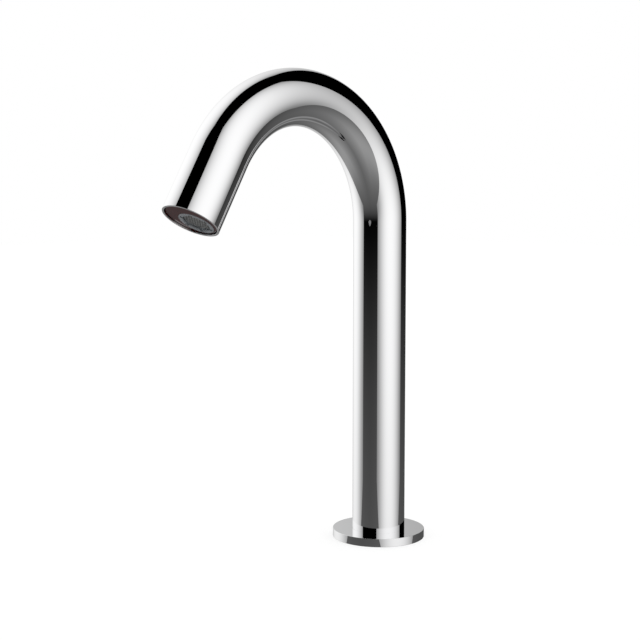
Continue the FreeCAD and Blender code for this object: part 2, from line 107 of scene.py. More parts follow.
class Graph:
    """A node tree under construction, for a material or for the world."""

    def __init__(self, tree: bpy.types.NodeTree) -> None:
        """Empties a tree, to build it from nothing.

        Args:
            tree: The node tree of a material or of the world.
        """
        self.tree = tree
        self.tree.nodes.clear()

    def node(self, kind: str, inputs: Inputs | None = None, **settings: Any) -> bpy.types.Node:
        """Adds a node.

        Args:
            kind: The node's type, such as ShaderNodeMath.
            inputs: Values or output sockets for its inputs, by their name or number.
            settings: The node's own settings.

        Returns:
            The new node.
        """
        node = self.tree.nodes.new(kind)
        for name, value in settings.items():
            setattr(node, name, value)
        self.feed(node, inputs or {})
        return node

    def feed(self, node: bpy.types.Node, inputs: Inputs) -> None:
        """Sets or links inputs of a node.

        Args:
            node: A node of this tree.
            inputs: Values or output sockets for its inputs, by their name or number.
        """
        for name, value in inputs.items():
            socket = node.inputs[name]
            if isinstance(value, Socket):
                self.tree.links.new(value, socket)
            elif socket.type == "RGBA":
                socket.default_value = (*value, 1.0)
            else:
                socket.default_value = value

    def math(self, operation: str, *values: Any) -> Socket:
        """Adds a sum, product or other step between numbers and returns its result."""
        inputs = dict(enumerate(values))
        return self.node("ShaderNodeMath", inputs, operation=operation).outputs[0]

    def place(
        self,
        shift: Sequence[float] = (0, 0, 0),
        turn: Sequence[float] = (0, 0, 0),
        scale: Sequence[float] = (1, 1, 1),
    ) -> Socket:
        """Adds the piece's Object coordinates, shifted, turned and stretched for a pattern.

        Args:
            shift: Where the pattern's own origin lies on the piece.
            turn: The pattern's turn about x, y and z, in radians.
            scale: The pattern's stretch.

        Returns:
            The coordinates.
        """
        coordinates = self.node("ShaderNodeTexCoord").outputs["Object"]
        inputs = {"Vector": coordinates, "Location": shift, "Rotation": turn, "Scale": scale}
        return self.node("ShaderNodeMapping", inputs, vector_type="TEXTURE").outputs[0]

    def noise(
        self, scale: float, detail: float = 2.0, rough: float = 0.5, place: Socket | None = None
    ) -> Socket:
        """Adds a noise pattern.

        Args:
            scale: How many of its waves go into a metre.
            detail: How many finer layers it has.
            rough: How strong they are.
            place: The coordinates it is read at, or none for the piece's own.

        Returns:
            Its strength, from 0 to 1.
        """
        vector = self.place() if place is None else place
        inputs = {"Vector": vector, "Scale": scale, "Detail": detail, "Roughness": rough}
        return self.node("ShaderNodeTexNoise", inputs).outputs["Fac"]

    def span(self, value: Socket, low: float, high: float, within: Pair = (0.0, 1.0)) -> Socket:
        """Maps a value that lies within a pair of bounds to low..high."""
        inputs = {"Value": value, 1: within[0], 2: within[1], 3: low, 4: high}
        return self.node("ShaderNodeMapRange", inputs).outputs[0]

    def blend(self, share: Socket, first: Colour, second: Colour) -> Socket:
        """Mixes two colours by a share from 0 to 1."""
        inputs = {"Factor": share, 6: first, 7: second}
        return self.node("ShaderNodeMix", inputs, data_type="RGBA").outputs[2]

    def bump(self, height: Socket, depth: float) -> Socket:
        """Turns a height from 0 to 1 into a relief of a given depth, in metres."""
        inputs = {"Height": height, "Distance": depth, "Strength": 1.0}
        return self.node("ShaderNodeBump", inputs).outputs[0]


def new_material(name: str) -> tuple[bpy.types.Material, Graph]:
    """Makes a material with an empty node tree.

    Args:
        name: The material's name.

    Returns:
        The material and its tree's builder.
    """
    material = bpy.data.materials.new(name)
    material.use_nodes = True
    return material, Graph(material.node_tree)


# --------------------------------------------------------------------------------------------------
# Finishes
# --------------------------------------------------------------------------------------------------


@dataclass(frozen=True)
class Finish:
    """A finish: its slot in the record, its colour and its gloss.

    In all finishes, a scale is the number of a pattern's waves in a metre.
    """

    slot: Slot
    colour: Colour
    roughness: float

    def material(self) -> bpy.types.Material:
        """Makes the finish's material the first time it is asked for.

        Returns:
            The material.
        """
        name = f"{self.slot.value}_finish"
        known = bpy.data.materials.get(name)
        if known:
            return known
        material, graph = new_material(name)
        plain = {"Base Color": self.colour, "Roughness": self.roughness}
        shader = graph.node("ShaderNodeBsdfPrincipled", plain)
        graph.feed(shader, self.pattern(graph))
        graph.node("ShaderNodeOutputMaterial", {"Surface": shader.outputs[0]})
        return material

    def pattern(self, graph: Graph) -> Inputs:
        """Builds the finish's own patterns.

        Args:
            graph: The builder of the material's tree.

        Returns:
            The inputs of the material's shader that the patterns feed, by name.
        """
        raise NotImplementedError

    def gloss(self, graph: Graph, pattern: Socket, spread: Pair) -> Socket:
        """Returns the finish's roughness, which a pattern varies by as much as the spread says."""
        low, high = spread
        return graph.span(pattern, self.roughness + low, self.roughness + high)


@dataclass(frozen=True)
class ChromePlate(Finish):
    """Polished plate, with the faint haze that a cloth leaves on it."""

    haze: float = 0.004
    wipe_scale: float = 38.0
    wipe_stretch: float = 2.5
    wipe_contrast: Pair = (0.35, 0.75)

    def pattern(self, graph: Graph) -> Inputs:
        """Makes the plate a mirror whose gloss varies a little.

        Args:
            graph: The builder of the material's tree.

        Returns:
            The inputs of the material's shader that the patterns feed, by name.
        """
        upright = graph.place(scale=(1.0, 1.0, self.wipe_stretch))
        wiped = graph.noise(self.wipe_scale, detail=4.0, rough=0.6, place=upright)
        hazy = self.roughness + self.haze
        return {
            "Metallic": 1.0,
            "Roughness": graph.span(wiped, self.roughness, hazy, within=self.wipe_contrast),
        }


@dataclass(frozen=True)
class TurnedMetal(Finish):
    """Bare metal off the lathe or the drawing press, with fine tool marks and uneven tone."""

    second: Colour
    tone_scale: float = 260.0
    mark_pitch: float = 0.12 * MM
    mark_stretch: float = 8.0
    mark_depth: float = 0.002 * MM
    gloss_spread: Pair = (-0.06, 0.08)

    def pattern(self, graph: Graph) -> Inputs:
        """Adds the tone, the tool marks and their gloss.

        Args:
            graph: The builder of the material's tree.

        Returns:
            The inputs of the material's shader that the patterns feed, by name.
        """
        tone = graph.noise(self.tone_scale, detail=3.0)
        around = graph.place(scale=(self.mark_stretch, self.mark_stretch, 1.0))
        marks = graph.noise(1.0 / self.mark_pitch, place=around)
        return {
            "Metallic": 1.0,
            "Base Color": graph.blend(tone, self.colour, self.second),
            "Roughness": self.gloss(graph, marks, self.gloss_spread),
            "Normal": graph.bump(marks, self.mark_depth),
        }


@dataclass(frozen=True)
class MouldedPlastic(Finish):
    """Moulded plastic with a spark-eroded grain and a little unevenness in its tone."""

    grain: float = 0.25 * MM
    grain_depth: float = 0.004 * MM
    shade: float = 0.15
    tone_scale: float = 420.0
    gloss_spread: Pair = (-0.05, 0.08)

    def pattern(self, graph: Graph) -> Inputs:
        """Adds the tone and the grain.

        Args:
            graph: The builder of the material's tree.

        Returns:
            The inputs of the material's shader that the patterns feed, by name.
        """
        red, green, blue = (channel * (1.0 - self.shade) for channel in self.colour)
        tone = graph.noise(self.tone_scale, detail=3.0)
        grain = graph.noise(1.0 / self.grain)
        return {
            "Base Color": graph.blend(tone, (red, green, blue), self.colour),
            "Roughness": self.gloss(graph, grain, self.gloss_spread),
            "Normal": graph.bump(grain, self.grain_depth),
        }


@dataclass(frozen=True)
class Rubber(Finish):
    """Black rubber or foam, matt, with a talc-like bloom."""

    pore: float = 0.4 * MM
    pore_depth: float = 0.01 * MM
    bloom: Colour = (0.06, 0.06, 0.06)
    bloom_scale: float = 300.0

    def pattern(self, graph: Graph) -> Inputs:
        """Adds the bloom and the pores.

        Args:
            graph: The builder of the material's tree.

        Returns:
            The inputs of the material's shader that the patterns feed, by name.
        """
        cells = {"Vector": graph.place(), "Scale": 1.0 / self.pore}
        pores = graph.node("ShaderNodeTexVoronoi", cells).outputs[0]
        bloom = graph.noise(self.bloom_scale, detail=4.0, rough=0.7)
        return {
            "Base Color": graph.blend(bloom, self.colour, self.bloom),
            "Normal": graph.bump(pores, self.pore_depth),
        }


@dataclass(frozen=True)
class TintedWindow(Finish):
    """The dark infrared window: dyed acrylic under a polished face."""

    depth: Colour
    cloud_scale: float = 140.0
    polish_scale: float = 900.0
    gloss_spread: Pair = (0.0, 0.06)
    mirroring: float = 0.2

    def pattern(self, graph: Graph) -> Inputs:
        """Adds the cloudiness of the dye and the polished face.

        Args:
            graph: The builder of the material's tree.

        Returns:
            The inputs of the material's shader that the patterns feed, by name.
        """
        cloud = graph.noise(self.cloud_scale)
        polish = graph.noise(self.polish_scale, detail=3.0)
        return {
            "Base Color": graph.blend(cloud, self.depth, self.colour),
            "Roughness": self.gloss(graph, polish, self.gloss_spread),
            "Specular IOR Level": self.mirroring,
        }


@dataclass(frozen=True)
class BraidedSleeve(Finish):
    """A hose's braid of bright threads under a clear sleeve."""

    thread: float = 0.9 * MM
    relief: float = 0.12 * MM
    lean: float = 0.9
    gap: Colour = (0.25, 0.26, 0.27)
    sleeve: float = 0.6
    band: float = 0.3  # metres between a wave texture's bands at scale 1

    def pattern(self, graph: Graph) -> Inputs:
        """Crosses two sets of slanting threads.

        Args:
            graph: The builder of the material's tree.

        Returns:
            The inputs of the material's shader that the patterns feed, by name.
        """
        threads = []
        for lean in (self.lean, -self.lean):
            vector = graph.place(turn=(lean, 0.0, lean / 2))
            inputs = {"Vector": vector, "Scale": self.band / self.thread}
            wave = graph.node("ShaderNodeTexWave", inputs, bands_direction="Z")
            threads.append(wave.outputs["Fac"])
        weave = graph.math("MAXIMUM", *threads)
        return {
            "Base Color": graph.blend(weave, self.gap, self.colour),
            "Normal": graph.bump(weave, self.relief),
            "Coat Weight": self.sleeve,
        }


@dataclass(frozen=True)
class SolderMask(Finish):
    """A circuit board's mask over its tracks."""

    track: Colour = (0.08, 0.33, 0.16)
    track_scale: float = 900.0
    track_edge: float = 0.42
    relief: float = 0.03 * MM

    def pattern(self, graph: Graph) -> Inputs:
        """Lays out tracks under the mask.

        Args:
            graph: The builder of the material's tree.

        Returns:
            The inputs of the material's shader that the patterns feed, by name.
        """
        inputs = {"Vector": graph.place(), "Scale": self.track_scale}
        cells = graph.node("ShaderNodeTexVoronoi", inputs, distance="CHEBYCHEV").outputs[0]
        tracks = graph.math("GREATER_THAN", cells, self.track_edge)
        return {
            "Base Color": graph.blend(tracks, self.colour, self.track),
            "Normal": graph.bump(tracks, self.relief),
        }


@dataclass(frozen=True)
class CastResin(Finish):
    """Clear or dark resin, cast or moulded, with a glossy skin."""

    swirl: Colour
    swirl_scale: float = 320.0
    skin: float = 0.8

    def pattern(self, graph: Graph) -> Inputs:
        """Adds the swirl of the pour.

        Args:
            graph: The builder of the material's tree.

        Returns:
            The inputs of the material's shader that the patterns feed, by name.
        """
        swirl = graph.noise(self.swirl_scale, detail=4.0, rough=0.6)
        return {
            "Base Color": graph.blend(swirl, self.colour, self.swirl),
            "Coat Weight": self.skin,
        }


FINISHES: dict[Slot, Finish] = {
    finish.slot: finish
    for finish in (
        ChromePlate(Slot.CHROME, (0.87, 0.87, 0.875), 0.002),
        TurnedMetal(Slot.BRASS, (0.78, 0.57, 0.27), 0.28, second=(0.66, 0.47, 0.21)),
        TurnedMetal(Slot.STAINLESS, (0.62, 0.61, 0.60), 0.3, second=(0.52, 0.51, 0.50)),
        TurnedMetal(Slot.GILT, (0.95, 0.72, 0.32), 0.2, second=(0.86, 0.62, 0.24)),
        Rubber(Slot.RUBBER, (0.018, 0.018, 0.019), 0.6, bloom=(0.04, 0.04, 0.04)),
        Rubber(Slot.FOAM, (0.02, 0.02, 0.02), 0.9, pore=0.7 * MM, pore_depth=0.15 * MM),
        TintedWindow(Slot.WINDOW, (0.036, 0.006, 0.006), 0.05, depth=(0.028, 0.004, 0.004)),
        MouldedPlastic(Slot.CARRIER, (0.014, 0.014, 0.016), 0.5),
        MouldedPlastic(Slot.AERATOR, (0.185, 0.198, 0.21), 0.4),
        MouldedPlastic(Slot.GRID, (0.19, 0.192, 0.19), 0.55),
        MouldedPlastic(Slot.INSERT, (0.55, 0.56, 0.57), 0.4),
        BraidedSleeve(Slot.SLEEVE, (0.62, 0.64, 0.66), 0.3),
        MouldedPlastic(Slot.JACKET, (0.016, 0.016, 0.017), 0.45),
        SolderMask(Slot.BOARD, (0.02, 0.16, 0.07), 0.3),
        CastResin(Slot.RESIN, (0.012, 0.012, 0.013), 0.15, swirl=(0.02, 0.02, 0.02)),
        CastResin(Slot.CLEAR_LENS, (0.42, 0.46, 0.58), 0.1, swirl=(0.5, 0.54, 0.64)),
        CastResin(Slot.DARK_LENS, (0.02, 0.012, 0.016), 0.1, swirl=(0.03, 0.02, 0.025)),
    )
}


def dress(piece: bpy.types.Object, slot: Slot) -> None:
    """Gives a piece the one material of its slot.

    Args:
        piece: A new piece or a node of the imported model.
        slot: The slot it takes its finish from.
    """
    piece.data.materials.clear()
    piece.data.materials.append(FINISHES[slot].material())


# --------------------------------------------------------------------------------------------------
# Modelling
# --------------------------------------------------------------------------------------------------


def leave_edit_mode() -> None:
    """Goes back to object mode with nothing selected."""
    if bpy.context.object and bpy.context.object.mode != "OBJECT":
        bpy.ops.object.mode_set(mode="OBJECT")
    bpy.ops.object.select_all(action="DESELECT")


class Workpiece:
    """A new piece, shaped from a primitive with the operators that a modeller uses by hand."""

    drill_sides: int = 64
    face_weight: int = 100  # how much the larger faces rule the shading, from 1 to 100

    def __init__(self, name: str) -> None:
        """Clears the bench for a piece of the given name."""
        self.name = name
        self.item: bpy.types.Object

    def take(self) -> None:
        """Takes the primitive that was just added onto the bench, in edit mode, all selected."""
        self.item = bpy.context.object
        self.item.name = self.name
        self.item.data.name = self.name
        bpy.ops.object.transform_apply(location=True, rotation=True, scale=True)
        bpy.ops.object.mode_set(mode="EDIT")
        bpy.ops.mesh.select_mode(type="VERT")
        bpy.ops.mesh.select_all(action="SELECT")

    def circle(self, radius: float, height: float, count: int) -> None:
        """Starts with an open circle about the z axis.

        Args:
            radius: The circle's radius.
            height: Its height.
            count: How many corners it has.
        """
        leave_edit_mode()
        self.add_circle(radius, height, count)
        self.take()

    def add_circle(self, radius: float, height: float, count: int, y: float = 0.0) -> None:
        """Adds an open circle, square to z, to what is being edited."""
        bpy.ops.mesh.primitive_circle_add(
            vertices=count, radius=radius, fill_type="NOTHING", location=(0.0, y, height)
        )

    def outline(self, corners: Sequence[Pair]) -> None:
        """Draws a closed section in the plane y = 0, a vertex extruded from corner to corner.

        Args:
            corners: The section's corners, as (radius, height).
        """
        leave_edit_mode()
        radius, height = corners[0]
        bpy.ops.mesh.primitive_circle_add(vertices=3, radius=MM, location=(radius, 0.0, height))
        self.take()
        bpy.ops.mesh.merge(type="CENTER")
        for (r0, z0), (r1, z1) in zip(corners, [*corners[1:], corners[0]]):
            move = {"value": (r1 - r0, 0.0, z1 - z0)}
            bpy.ops.mesh.extrude_vertices_move(TRANSFORM_OT_translate=move)
        bpy.ops.mesh.select_all(action="SELECT")
        bpy.ops.mesh.remove_doubles(threshold=SAME_POINT)

    def pick(self, wanted: Callable[[Vector], bool]) -> None:
        """Selects vertices, with the edges and faces between them.

        Args:
            wanted: Tells from a vertex's place whether it is selected.
        """
        bpy.ops.mesh.select_all(action="DESELECT")
        mesh = bmesh.from_edit_mesh(self.item.data)
        for vertex in mesh.verts:
            vertex.select = wanted(vertex.co)
        mesh.select_flush(True)
        bmesh.update_edit_mesh(self.item.data)

    def extrude(self, move: Sequence[float], steps: int = 1) -> None:
        """Extrudes what is selected.

        Args:
            move: The whole way it goes.
            steps: How many equal steps that takes.
        """
        step = [value / steps for value in move]
        for _ in range(steps):
            bpy.ops.mesh.extrude_region_move(TRANSFORM_OT_translate={"value": step})

    def round_corners(
        self, wanted: Callable[[Vector], bool], size: float, segments: int = 3
    ) -> None:
        """Rounds the corners of a drawn section that a test on their place picks."""
        self.pick(wanted)
        bpy.ops.mesh.bevel(offset=size, segments=segments, affect="VERTICES", clamp_overlap=False)

    def turn(self, steps: int) -> None:
        """Spins the drawn section once about the z axis and closes the joint.

        Args:
            steps: How many steps that takes.
        """
        bpy.ops.mesh.select_all(action="SELECT")
        bpy.ops.mesh.spin(steps=steps, angle=FULL_TURN, center=(0, 0, 0), axis=(0, 0, 1))
        self.close_up()

    def close_up(self) -> None:
        """Merges doubled vertices and turns all faces outwards."""
        bpy.ops.mesh.select_all(action="SELECT")
        bpy.ops.mesh.remove_doubles(threshold=WELD)
        bpy.ops.mesh.normals_make_consistent(inside=False)

    def modify(self, kind: str, **settings: Any) -> None:
        """Adds a modifier and applies it.

        Args:
            kind: The modifier's type.
            settings: Its settings.
        """
        leave_edit_mode()
        modifier = self.item.modifiers.new(kind.lower(), kind)
        for name, value in settings.items():
            setattr(modifier, name, value)
        bpy.context.view_layer.objects.active = self.item
        bpy.ops.object.modifier_apply(modifier=modifier.name)

    def break_edges(self, width: float, segments: int) -> None:
        """Rounds the piece's sharp edges.

        Args:
            width: How far the rounding reaches from the edge.
            segments: How many faces it has across.
        """
        self.modify(
            "BEVEL",
            width=width,
            segments=segments,
            limit_method="ANGLE",
            angle_limit=BEVEL_ANGLE,
        )

    def drill(self, radius: float, length: float, start: Vector, direction: Vector) -> None:
        """Bores a round hole through the piece.

        Args:
            radius: The hole's radius.
            length: The drill's length.
            start: The point the drill starts from.
            direction: The way it goes.
        """
        leave_edit_mode()
        bpy.ops.mesh.primitive_cylinder_add(
            vertices=self.drill_sides,
            radius=radius,
            depth=length,
            location=start + direction.normalized() * length / 2,
            rotation=direction.to_track_quat("Z", "Y").to_euler(),
        )
        self.cut()

    def mill(self, size: Sequence[float], middle: Sequence[float], angle: float) -> None:
        """Mills a square slot into the piece.

        Args:
            size: The cutter's three sides.
            middle: Its middle before it is turned.
            angle: Its turn about the z axis, in radians.
        """
        leave_edit_mode()
        place = Matrix.Rotation(angle, 3, "Z") @ Vector(middle)
        bpy.ops.mesh.primitive_cube_add(size=1.0, location=place, rotation=(0, 0, angle))
        bpy.context.object.scale = size
        self.cut()

    def cut(self) -> None:
        """Takes the shape of the primitive that was just added out of the piece."""
        tool = bpy.context.object
        bpy.context.view_layer.update()
        self.modify("BOOLEAN", object=tool, operation="DIFFERENCE", solver="EXACT")
        bpy.data.objects.remove(tool)

    def finish(self, body: Body, slot: Slot, node: str, place: Matrix | None = None) -> None:
        """Shades the piece, puts it in its place and hands it over to its body.

        The piece's origin ends at the tap's.

        Args:
            body: The body it rides on.
            slot: The slot it takes its finish from.
            node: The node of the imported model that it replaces.
            place: The move from the frame it was modelled in to the tap's, or none if they agree.
        """
        leave_edit_mode()
        self.item.select_set(True)
        bpy.context.view_layer.objects.active = self.item
        if place is not None:
            self.item.matrix_world = place
            bpy.ops.object.transform_apply(location=True, rotation=True, scale=True)
        bpy.ops.object.shade_smooth_by_angle(angle=CREASE_ANGLE, keep_sharp_edges=True)
        self.modify("WEIGHTED_NORMAL", keep_sharp=True, weight=self.face_weight)
        dress(self.item, slot)
        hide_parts(node)
        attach(self.item, body.value)
        LOG.info("%s: %d faces, rides on %s", self.name, len(self.item.data.polygons), body.value)


# --------------------------------------------------------------------------------------------------
# The tap's line
# --------------------------------------------------------------------------------------------------


@dataclass(frozen=True)
class TapLine:
    """The line that the tube follows: up the column, round the arch and down the outlet."""

    arch_height: float = 193.0 * MM
    arch_radius: float = 70.0 * MM
    arch_sweep: float = math.radians(149.0)
    outlet_run: float = 39.0 * MM

    @property
    def down_outlet(self) -> Vector:
        """The direction in which the outlet points."""
        return Vector((0.0, -math.sin(self.arch_sweep), math.cos(self.arch_sweep)))

    @property
    def arch_centre(self) -> Vector:
        """The middle of the arch."""
        return Vector((0.0, -self.arch_radius, self.arch_height))

    @property
    def end(self) -> Vector:
        """The middle of the tube's end face."""
        to_outlet = Vector((0.0, math.cos(self.arch_sweep), math.sin(self.arch_sweep)))
        arch_end = self.arch_centre + to_outlet * self.arch_radius
        return arch_end + self.down_outlet * self.outlet_run

    def at_outlet(self, shift: float = 0.0) -> Matrix:
        """Moves from the outlet's own frame to the tap's.

        Args:
            shift: How far the modelled frame lies from the tube's line, towards the column.

        Returns:
            The move as a matrix.
        """
        turn = Matrix.Rotation(self.arch_sweep - math.pi, 4, "X")
        return Matrix.Translation(self.end) @ turn @ Matrix.Translation((0.0, shift, 0.0))


LINE = TapLine()


# --------------------------------------------------------------------------------------------------
# The outside
# --------------------------------------------------------------------------------------------------


@dataclass(frozen=True)
class Spout:
    """The bent chrome tube and the flange it stands in."""

    tube_radius: float = 16.0 * MM
    wall: float = 1.2 * MM
    mouth: float = 0.3 * MM  # how far the tube's rim stands past the end of the tap's line
    foot: float = 2.2 * MM  # how high the tube stands, on the flange's lip
    rim_break: float = 0.12 * MM
    around: int = 128
    column_steps: int = 12
    arch_steps: int = 108
    outlet_steps: int = 3  # above the screw hole, and below it

    screw_height: float = 18.4 * MM  # up the outlet, from its end
    screw_hole: float = 2.05 * MM
    screw_drill: Pair = (10.0 * MM, 10.0 * MM)  # where the drill starts from the line, its length
    screw_margin: float = 6.0 * MM  # the length of finer steps on either side of the hole
    screw_steps: int = 12

    flange_radius: float = 28.0 * MM
    flange_thickness: float = 5.0 * MM
    flange_bore: float = 16.02 * MM
    flange_break: float = 0.12 * MM
    flange_around: int = 160
    lip_bore: float = 14.6 * MM
    gasket_outer: float = 25.5 * MM
    gasket_inner: float = 19.0 * MM
    gasket_depth: float = 1.5 * MM

    def build(self) -> None:
        """Models the tube and the flange."""
        self.tube()
        self.flange()

    def tube(self) -> None:
        """Draws a circle up the column, round the arch and down the outlet, and thickens it."""
        piece = Workpiece("tap_tube")
        piece.circle(self.tube_radius, self.foot, self.around)
        piece.extrude((0, 0, LINE.arch_height - self.foot), self.column_steps)
        bpy.ops.mesh.spin(
            steps=self.arch_steps,
            angle=LINE.arch_sweep,
            center=LINE.arch_centre,
            axis=(-1, 0, 0),
        )
        down, margin = LINE.down_outlet, self.screw_margin
        piece.extrude(down * (LINE.outlet_run - self.screw_height - margin), self.outlet_steps)
        piece.extrude(down * 2 * margin, self.screw_steps)
        piece.extrude(down * (self.screw_height + self.mouth - margin), self.outlet_steps)
        piece.close_up()
        piece.modify("SOLIDIFY", thickness=self.wall, offset=-1.0, use_even_offset=True)
        piece.break_edges(self.rim_break, segments=3)
        self.drill_screw_hole(piece)
        piece.finish(Body.TAP, Slot.CHROME, "spout_tube")

    def drill_screw_hole(self, piece: Workpiece) -> None:
        """Drills the hole of the screw that holds the carrier, on the side of the column.

        Args:
            piece: The tube.
        """
        start, length = self.screw_drill
        outlet = LINE.at_outlet()
        inside = outlet @ Vector((0, start, self.screw_height))
        towards_column = (outlet.to_3x3() @ Vector((0, 1, 0))).normalized()
        piece.drill(self.screw_hole, length, inside, towards_column)

    def flange(self) -> None:
        """Turns the flange, with the lip under the tube and the gasket's groove."""
        piece = Workpiece("tap_flange")
        top = self.flange_thickness
        piece.outline([
            (self.lip_bore, 0), (self.lip_bore, self.foot), (self.flange_bore, self.foot),
            (self.flange_bore, top), (self.flange_radius, top), (self.flange_radius, 0),
            (self.gasket_outer, 0), (self.gasket_outer, self.gasket_depth),
            (self.gasket_inner, self.gasket_depth), (self.gasket_inner, 0),
        ])
        piece.round_corners(lambda co: co.x > self.flange_radius - TINY, self.flange_break)
        piece.turn(self.flange_around)
        piece.finish(Body.TAP, Slot.CHROME, "base_flange")


@dataclass(frozen=True)
class OutletFace:
    """What shows in the mouth of the tube: the sensor window and the aerator's ring.

    Fronts, backs and depths are heights above the end of the tap's line, up the outlet.
    """

    window_radius: float = 14.3 * MM
    window_hole: float = 10.1 * MM
    window_front: float = 0.7 * MM
    window_back: float = 3.2 * MM
    window_break: float = 0.15 * MM

    aerator_offset: float = 4.0 * MM  # from the tube's line, towards the column
    ring_radius: float = 9.7 * MM
    ring_bore: float = 8.1 * MM
    ring_front: float = 0.55 * MM
    ring_back: float = 11.4 * MM
    collar_radius: float = 9.95 * MM
    collar: float = 1.5 * MM
    collar_break: float = 0.2 * MM
    lip_radius: float = 7.7 * MM
    lip: float = 1.55 * MM
    lip_break: float = 0.12 * MM
    groove_radius: float = 8.3 * MM
    groove: Pair = (0.75 * MM, 1.35 * MM)  # its two sides, behind the ring's front

    notch_reach: float = 9.1 * MM
    notch_width: float = 2.2 * MM
    notch_depth: float = 1.0 * MM
    notch_count: int = 6
    notch_turn: float = math.radians(-8.0)

    thread_pitch: float = 1.0 * MM
    thread_depth: float = 0.35 * MM
    thread_margin: float = 0.5 * MM  # the plain run behind the last ridge, at least
    around: int = 144

    def build(self) -> None:
        """Models the window and the ring."""
        self.window()
        self.ring()

    def window(self) -> None:
        """Bridges the window's edge to its off-centre hole, and gives it its thickness."""
        piece = Workpiece("infrared_window")
        piece.circle(self.window_radius, self.window_front, self.around)
        piece.add_circle(self.window_hole, self.window_front, self.around, y=self.aerator_offset)
        bpy.ops.mesh.select_all(action="SELECT")
        bpy.ops.mesh.bridge_edge_loops()
        bpy.ops.mesh.select_all(action="SELECT")
        piece.extrude((0, 0, self.window_back - self.window_front))
        piece.close_up()
        piece.break_edges(self.window_break, segments=2)
        piece.finish(Body.TAP, Slot.WINDOW, "sensor_window", place=LINE.at_outlet())

    def ring(self) -> None:
        """Turns the aerator's ring with its thread, and mills the key's notches into its lip."""
        piece = Workpiece("aerator_ring")
        piece.outline(self.ring_section())
        front = self.ring_front + TINY
        outside, inside = self.collar_radius - TINY, self.lip_radius + TINY
        piece.round_corners(lambda co: co.x > outside and co.z < front, self.collar_break)
        piece.round_corners(lambda co: co.x < inside and co.z < front, self.lip_break, segments=2)
        piece.turn(self.around)
        size = (self.notch_reach, self.notch_width, 2 * self.notch_depth)
        middle = (self.notch_reach / 2, 0.0, self.ring_front)
        for step in range(self.notch_count):
            piece.mill(size, middle, self.notch_turn + step * FULL_TURN / self.notch_count)
        place = LINE.at_outlet(self.aerator_offset)
        piece.finish(Body.AERATOR, Slot.AERATOR, "aerator_housing", place=place)

    def ring_section(self) -> list[Pair]:
        """Lays out the ring's section, with its lip, groove, collar and thread.

        Returns:
            The section's corners, as (radius, height).
        """
        lip_back = self.ring_front + self.lip
        groove_front, groove_back = (self.ring_front + depth for depth in self.groove)
        height = self.ring_front + self.collar
        section = [
            (self.lip_radius, lip_back), (self.lip_radius, groove_back),
            (self.groove_radius, groove_back), (self.groove_radius, groove_front),
            (self.lip_radius, groove_front), (self.lip_radius, self.ring_front),
            (self.collar_radius, self.ring_front), (self.collar_radius, height),
        ]
        while height + self.thread_pitch < self.ring_back - self.thread_margin:
            root = self.ring_radius - self.thread_depth
            section += [(self.ring_radius, height), (root, height + self.thread_pitch / 2)]
            height += self.thread_pitch
        section += [
            (self.ring_radius, height), (self.ring_radius, self.ring_back),
            (self.ring_bore, self.ring_back), (self.ring_bore, lip_back),
        ]
        return section


# --------------------------------------------------------------------------------------------------
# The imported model's own nodes
# --------------------------------------------------------------------------------------------------


def dress_nodes() -> None:
    """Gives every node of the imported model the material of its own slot."""
    for row in frame["record"]["subparts"]:
        dress(frame["nodes"][row["node"]], Slot(row["material_slot"]))
        LOG.info("%s: %s", row["node"], row["material_slot"])


# --------------------------------------------------------------------------------------------------
# Studio and camera
# --------------------------------------------------------------------------------------------------


